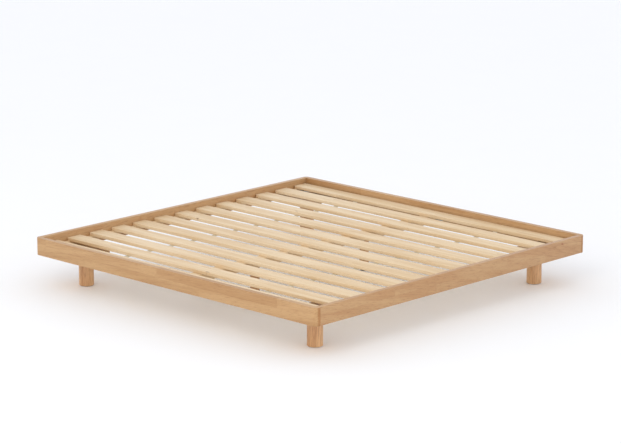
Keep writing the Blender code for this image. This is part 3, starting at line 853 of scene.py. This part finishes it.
# %% Profiles for the lathe
FIT_GAP = 0.0003
TENON_RADIUS = 0.012
TENON_EDGE = 0.002
SHOULDER_ROUND = 0.001
STEM_RADIUS = 0.005
STEM_BORE_DEPTH = 0.0505
THREAD_PITCH = 0.0015
THREAD_DEPTH = 0.0008
THREAD_CREST = (0.40, 0.55)  # where the crest begins and ends, as shares of the pitch
THREAD_ROOT = 0.95
HEXAGON_HEIGHT = 0.005
HEXAGON_GAP = 0.0008
PAD_SOCKET_DEPTH = 0.004
PAD_HUB_RADIUS = 0.009
PAD_RIM_HEIGHT = 0.0036
PAD_RIM_ROUND = 0.0016
PAD_EDGE = 0.0006
beam_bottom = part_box("centre_beam")[0].z


def centre_leg_profile(low, high):
    radius, shoulder = (high.x - low.x) / 2, beam_bottom - FIT_GAP
    profile = [(0, high.z), (TENON_RADIUS - TENON_EDGE, high.z)]
    profile += [(TENON_RADIUS, high.z - TENON_EDGE), (TENON_RADIUS, shoulder)]
    profile += arc((radius - SHOULDER_ROUND, shoulder - SHOULDER_ROUND), SHOULDER_ROUND, 90, 0)
    profile += arc((radius - FOOT_ROUND, low.z + FOOT_ROUND), FOOT_ROUND, 0, -90)
    bore, bore_top = STEM_RADIUS + FIT_GAP, low.z + STEM_BORE_DEPTH
    return profile + [(bore, low.z), (bore, bore_top), (0, bore_top)]


def stem_profile(low, high):
    root = STEM_RADIUS - THREAD_DEPTH
    profile = [(0, low.z), (root, low.z)]
    for index in range(int((high.z - low.z) / THREAD_PITCH)):
        foot = low.z + index * THREAD_PITCH
        profile += [(STEM_RADIUS, foot + share * THREAD_PITCH) for share in THREAD_CREST]
        profile += [(root, foot + THREAD_ROOT * THREAD_PITCH)]
    return profile + [(0, high.z)]


def pad_profile(low, high):
    radius, floor_of_socket = (high.x - low.x) / 2, high.z - PAD_SOCKET_DEPTH
    socket, edge = STEM_RADIUS + FIT_GAP, PAD_EDGE
    profile = [(0, floor_of_socket), (socket, floor_of_socket), (socket, high.z)]
    profile += arc((PAD_HUB_RADIUS - edge, high.z - edge), edge, 90, 20)
    rim = (radius - PAD_RIM_ROUND, low.z + PAD_RIM_HEIGHT - PAD_RIM_ROUND)
    profile += arc(rim, PAD_RIM_ROUND, 75, 0)
    return profile + arc((radius - edge, low.z + edge), edge, 0, -90) + [(0, low.z)]


# %% Turn the legs, stems and pads
def turned_for(node, suffix, profile_of, steps=64):
    low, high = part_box(node)
    return turned(f"{node}_{suffix}", (low + high) / 2, profile_of(low, high), steps)


for index, end in enumerate(("foot", "head")):
    leg = turned_for(f"centre_leg_{end}", "oak", centre_leg_profile, 96)
    low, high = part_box(f"centre_leg_{end}")
    saw(leg, "z", (0.05, (low.y + high.y) / 2 + 0.03), (0.03, 0.05), 90.0 + 2.3 * index)
    finish_piece(leg, leg_oak_with_painted_light, "frame", [f"centre_leg_{end}"])

    pad = turned_for(f"leveller_pad_{end}", "nylon", pad_profile, 96)
    finish_piece(pad, black_nylon, f"leveller_{end}_pad", [f"leveller_pad_{end}"])

    stem = turned_for(f"leveller_stem_{end}", "zinc", stem_profile, 32)
    low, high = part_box(f"leveller_pad_{end}")
    middle = (low + high) / 2
    hexagon_foot = (middle.x, middle.y, high.z + HEXAGON_GAP)
    combine(stem, hexagon("hexagon", hexagon_foot, HEXAGON_HEIGHT))
    finish_piece(stem, zinc_steel, f"leveller_{end}_stem", [f"leveller_stem_{end}"])
    print(end, "stem:", len(stem.data.polygons), "faces; pad:", len(pad.data.polygons), "faces")

# %% [markdown]
# ## Screws
#
# The ledgers are screwed to the rails, the leg boards up into the ledgers, and the hangers to
# the end rails, all with flat-headed screws that have a six-pointed recess. One screw is shaped
# in edit mode and then copied, so it has only a few hundred faces. Every copy gets its own mesh,
# and the screws of one job are joined into one piece.

# %% Model one screw
SCREW_HEAD_RADIUS = 0.005
SCREW_HEAD_HEIGHT = 0.0018
SCREW_SHANK_RADIUS = 0.002
SCREW_TIP_LENGTH = 0.004
SCREW_TIP_SHARE = 0.15
SCREW_DOME = 0.0008
RECESS_RADIUS = 0.0019
RECESS_DEPTH = 0.0012
RECESS_VALLEY = 0.70  # how far out its valleys and flanks lie, as shares of its points' radius
RECESS_FLANK = 0.86
RING_GAP = 0.0003
HEAD_SIDES = 24


def push_faces(made, wanted, distance):
    """Extrudes the picked faces by a distance along Z."""
    pick(made, "FACE", wanted)
    bpy.ops.mesh.extrude_region_move(TRANSFORM_OT_translate={"value": (0, 0, distance)})


def wafer_screw(length):
    """A screw that stands head up, with the underside of its head at the origin."""
    screw = start_cylinder("screw", SCREW_HEAD_RADIUS, (0, 0, 0), SCREW_HEAD_HEIGHT, HEAD_SIDES)
    halfway = SCREW_HEAD_HEIGHT / 2

    def on_top(edge):
        return sharp(edge) and min(vertex.co.z for vertex in edge.verts) > halfway

    round_edges(screw, SCREW_DOME, 3, on_top)
    pick(screw, "FACE", lambda face: face.normal.z > 0.99)
    bpy.ops.mesh.inset(thickness=SCREW_HEAD_RADIUS - SCREW_DOME - RECESS_RADIUS)

    def step_round(vertex):
        return round(math.atan2(vertex.co.y, vertex.co.x) * HEAD_SIDES / math.tau)

    def on_recess(vertex):
        return vertex.co.z > halfway and vertex.co.xy.length < RECESS_RADIUS + RING_GAP

    pick(screw, "VERT", lambda vertex: on_recess(vertex) and step_round(vertex) % 4 == 2)
    bpy.ops.transform.resize(value=(RECESS_VALLEY, RECESS_VALLEY, 1))
    pick(screw, "VERT", lambda vertex: on_recess(vertex) and step_round(vertex) % 2 == 1)
    bpy.ops.transform.resize(value=(RECESS_FLANK, RECESS_FLANK, 1))

    def inside_recess(face):
        return face.normal.z > 0.99 and all(on_recess(vertex) for vertex in face.verts)

    push_faces(screw, inside_recess, -RECESS_DEPTH)
    pick(screw, "FACE", lambda face: face.normal.z < -0.99)
    bpy.ops.mesh.inset(thickness=SCREW_HEAD_RADIUS - SCREW_SHANK_RADIUS)
    # This takes the ring round the shank as well, so the hidden shank is as wide as the head.
    push_faces(screw, lambda face: face.normal.z < -0.99, -length)
    bpy.ops.mesh.extrude_region_move(TRANSFORM_OT_translate={"value": (0, 0, -SCREW_TIP_LENGTH)})
    bpy.ops.transform.resize(value=(SCREW_TIP_SHARE, SCREW_TIP_SHARE, 1))
    bpy.ops.object.mode_set(mode="OBJECT")
    return screw


# %% Copy a pattern to many places
def copies_of(pattern, name, places):
    """One piece made of copies of a pattern, which is used up."""
    copies = [copy_at(pattern, name, place, facing) for place, facing in places]
    deselect()
    for copy in copies:
        copy.select_set(True)
    bpy.context.view_layer.objects.active = copies[0]
    bpy.ops.object.join()
    bpy.data.objects.remove(pattern)
    return settle(name)


# %% Drive the screws
LEDGER_SCREWS = 12
LEDGER_SCREW_SPACING = 0.160
BOARD_SCREWS_AT = (0.785, 0.880)
BOARD_SCREW_INSET = 0.012
HANGER_HOLE_INSET = 0.011
HANGER_SHEET = 0.002

side_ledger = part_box("side_ledger_right")
ledger_face, ledger_middle = side_ledger[0].x, (side_ledger[0].z + side_ledger[1].z) / 2
along_ledger = [
    LEDGER_SCREW_SPACING * (index - (LEDGER_SCREWS - 1) / 2) for index in range(LEDGER_SCREWS)
]
ledger_places = []
for side in (-1, 1):
    for at in along_ledger:
        ledger_places.append(((side * ledger_face, at, ledger_middle), (-side, 0, 0)))
        ledger_places.append(((at, side * ledger_face, ledger_middle), (0, -side, 0)))

board_places = []
for sx, sy in corners.values():
    for at in BOARD_SCREWS_AT:
        inset_x, inset_y = inner_x - BOARD_SCREW_INSET, inner_y - BOARD_SCREW_INSET
        board_places.append(((sx * inset_x, sy * at, board_low.z), (0, 0, -1)))
        board_places.append(((sx * at, sy * inset_y, board_low.z), (0, 0, -1)))

hanger_low, hanger_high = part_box("beam_hanger_foot")
plate_face = inner_y - FIT_GAP - HANGER_SHEET
hanger_places = []
for side in (-1, 1):
    for hand in (-1, 1):
        place = (
            hand * (hanger_high.x - HANGER_HOLE_INSET),
            side * plate_face,
            (hanger_low.z + hanger_high.z) / 2,
        )
        hanger_places.append((place, (0, -side, 0)))

for name, length, places in (
    ("ledger_screws", 0.040, ledger_places),
    ("board_screws", 0.034, board_places),
    ("hanger_screws", 0.016, hanger_places),
):
    screws = copies_of(wafer_screw(length), name, places)
    finish_piece(screws, zinc_steel, "frame")
    print(name + ":", len(places), "screws,", len(screws.data.polygons), "faces")

# %% [markdown]
# ## Webbing straps
#
# Two cotton straps are stapled under the slats, so that the deck rolls up for carrying. A strap
# lies flat under each slat, hangs down a little in each gap, and is folded back under itself at
# its ends, so that it can't fray. It is drawn by extruding one edge along that route, and then
# given its thickness. The weave is two waves across each other, in the colour and the bump.


# %% The webbing finish
WARP_PITCH = 0.0012
WEFT_PITCH = 0.0016


def webbing(name):
    cotton = Finish(name, 0.9)
    x, y = cotton.split(cotton.place)[:2]
    warp = (x * (math.tau / WARP_PITCH)).math("SINE")
    weft = (y * (math.tau / WEFT_PITCH) + warp * 1.2).math("SINE")
    fuzz = cotton.noise(cotton.place, scale=1500.0, detail=3.0)
    yarn = warp * 0.5 + weft * 0.5
    woven = cotton.smooth(yarn, -0.8, 0.8)
    color = cotton.blend(woven, paint(190, 178, 152), paint(226, 217, 196))
    cotton.set("Base Color", cotton.blend(fuzz * 0.5, color, paint(204, 192, 168)))
    cotton.set("Roughness", 0.82 + fuzz * 0.16)
    cotton.bump(yarn + fuzz, 0.0002, 0.8)
    return cotton


# %% Lay the straps
STRAP_THICKNESS = 0.0013
STRAP_FOLD = 0.025
STRAP_SAG = 0.0025
STRAP_EDGE = 0.0003
FOLD_GAP = 0.0002
GAP_STEPS = 6


def strap_route(low, high):
    """Points (y, z) along the middle of the webbing, from the foot's folded end to the head's."""
    level = high.z - STRAP_THICKNESS / 2
    bend = (STRAP_THICKNESS + FOLD_GAP) / 2
    around = [math.radians(90 + 30 * step) for step in range(7)]
    turn = [(bend * math.cos(t), bend * math.sin(t) - bend) for t in reversed(around)]
    route = [(low.y + STRAP_FOLD, level - 2 * bend)]
    route += [(low.y + bend + y, level + z) for y, z in turn]
    for before, after in zip(slat_names, slat_names[1:]):
        near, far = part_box(before)[1].y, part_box(after)[0].y
        for step in range(GAP_STEPS + 1):
            share = step / GAP_STEPS
            drop = STRAP_SAG * 4 * share * (1 - share)
            route.append((near + share * (far - near), level - drop))
    route += [(high.y - bend - y, level + z) for y, z in reversed(turn)]
    return route + [(high.y - STRAP_FOLD, level - 2 * bend)]


def strap(name):
    low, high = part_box(name)
    route = strap_route(low, high)
    (first_y, first_z), (second_y, _) = route[:2]
    deselect()
    middle = ((low.x + high.x) / 2, (first_y + second_y) / 2, first_z)
    bpy.ops.mesh.primitive_plane_add(size=1, location=middle)
    bpy.ops.transform.resize(value=(high.x - low.x, first_y - second_y, 1))
    made = settle(name + "_webbing")
    pick(made, "EDGE", lambda edge: all(abs(v.co.y - second_y) < SAME_POINT for v in edge.verts))
    for before, after in zip(route[1:], route[2:]):
        step = (0, after[0] - before[0], after[1] - before[1])
        bpy.ops.mesh.extrude_edges_move(TRANSFORM_OT_translate={"value": step})
    bpy.ops.mesh.select_all(action="SELECT")
    bpy.ops.mesh.normals_make_consistent(inside=False)
    bpy.ops.object.mode_set(mode="OBJECT")
    wall = made.modifiers.new("thickness", "SOLIDIFY")
    wall.thickness, wall.offset = STRAP_THICKNESS, 0.0
    bpy.ops.object.modifier_apply(modifier=wall.name)
    round_edges(made, STRAP_EDGE, 2, lambda edge: sharp(edge, 60))
    return finish_piece(made, cotton_webbing, "slat_deck", [name])


cotton_webbing = webbing("cotton_webbing")
straps = [strap("slat_strap_left"), strap("slat_strap_right")]
print("straps:", [len(made.data.polygons) for made in straps], "faces")

# %% Staple them to the slats
STAPLE_WIDTH = 0.012
STAPLE_WIRE = 0.0012
STAPLE_PROUD = 0.0005
STAPLE_LEG = 0.010
STAPLE_EDGE = 0.0002
STAPLE_PAIR = 0.012
STAPLE_STAGGER = 0.004


def staple():
    """A staple with its crown at the origin and its legs pointing down."""
    half, wire = STAPLE_WIDTH / 2, STAPLE_WIRE / 2
    made = start_box("staple", (-half, -wire, 0), (half, wire, STAPLE_PROUD))
    for side in (-1, 1):
        pick(made, "FACE", lambda face: True)
        bpy.ops.mesh.bisect(plane_co=(side * (half - STAPLE_WIRE), 0, 0), plane_no=(1, 0, 0))

    def leg_root(face):
        outside = abs(face.calc_center_median().x) > half - STAPLE_WIRE
        return face.normal.z < -0.9 and outside

    push_faces(made, leg_root, -STAPLE_LEG)
    bpy.ops.object.mode_set(mode="OBJECT")
    halfway = STAPLE_PROUD / 2
    round_edges(made, STAPLE_EDGE, 1, lambda edge: sharp(edge) and edge.verts[0].co.z > halfway)
    return made


for hand in ("left", "right"):
    low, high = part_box(f"slat_strap_{hand}")
    under = high.z - STRAP_THICKNESS
    places = []
    for name in slat_names:
        slat_low, slat_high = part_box(name)
        for side in (-1, 1):
            y = (slat_low.y + slat_high.y) / 2 + side * STAPLE_PAIR
            folded = min(y - low.y, high.y - y) < STRAP_FOLD
            drop = STRAP_THICKNESS + FOLD_GAP if folded else 0
            x = (low.x + high.x) / 2 + side * STAPLE_STAGGER
            places.append(((x, y, under - drop), (0, 0, -1)))
    staples = copies_of(staple(), f"strap_staples_{hand}", places)
    finish_piece(staples, zinc_steel, "slat_deck")
    print(hand, "strap:", len(places), "staples,", len(staples.data.polygons), "faces")

# %% [markdown]
# ## Floor, light and camera
#
# The studio is a wide white floor under a white sky. The sky is brighter near the horizon than
# overhead, so that the faces of the rails are almost as bright as their tops, and the floor
# under the bed stays in soft shadow. One large, slightly warm lamp at the front adds a gentle
# direction, and the sky is a touch cool to balance it. The camera stands far back with a long
# lens, so that the bed's edges run almost parallel, as in a catalogue.

# %% Floor
deselect()
bpy.ops.mesh.primitive_plane_add(size=400)
floor = settle("studio_floor")
pale_floor = Finish("pale_floor", 0.75)
mottle = pale_floor.noise(pale_floor.place, scale=3.0)
floor_tint = pale_floor.blend(mottle, (0.940, 0.944, 0.952, 1), (0.954, 0.958, 0.966, 1))
pale_floor.set("Base Color", floor_tint)
floor.data.materials.append(pale_floor.material)
print("floor:", floor.name, "in", pale_floor.material.name)

# %% Light
WARM_WHITE = (1.0, 0.93, 0.80)
COOL_WHITE = (0.978, 0.990, 1.025, 1.0)
HORIZON_LIGHT = 1.48
OVERHEAD_LIGHT = 0.77

world = bpy.data.worlds.new("studio")
bpy.context.scene.world = world
world.use_nodes = True
studio = world.node_tree
sky = studio.nodes["Background"]
sky.inputs["Color"].default_value = COOL_WHITE
height = studio.nodes.new("ShaderNodeSeparateXYZ")
studio.links.new(studio.nodes.new("ShaderNodeTexCoord").outputs["Generated"], height.inputs[0])
brightness = studio.nodes.new("ShaderNodeMapRange")
brightness.inputs["To Min"].default_value = HORIZON_LIGHT
brightness.inputs["To Max"].default_value = OVERHEAD_LIGHT
studio.links.new(height.outputs["Z"], brightness.inputs["Value"])
studio.links.new(brightness.outputs["Result"], sky.inputs["Strength"])


def softbox(name, place, size, power):
    """A large square lamp that faces the middle of the floor."""
    deselect()
    bpy.ops.object.light_add(type="AREA", location=place)
    lamp = bpy.context.object
    lamp.name = name
    lamp.data.shape = "SQUARE"
    lamp.data.size = size
    lamp.data.energy = power
    lamp.data.color = WARM_WHITE
    lamp.rotation_euler = (-Vector(place)).to_track_quat("-Z", "Y").to_euler()
    return lamp


key = softbox("key_softbox", (2.6, -6.0, 4.8), 4.0, 100.0)
print("lamp:", key.name, key.data.energy, "W; sky from", HORIZON_LIGHT, "to", OVERHEAD_LIGHT)

# %% Camera
bpy.ops.object.camera_add(
    location=(9.959, -10.330, 3.784),
    rotation=(math.radians(90 - 13.495), 0, math.radians(43.954)),
)
camera = bpy.context.object
camera.data.lens = 161.04
camera.data.sensor_width = 36.0
camera.data.clip_end = 500.0
bpy.context.scene.camera = camera
bpy.context.scene.view_settings.view_transform = "Standard"
print("camera:", round(camera.data.lens), "mm lens,", round(camera.location.length, 1), "m away")
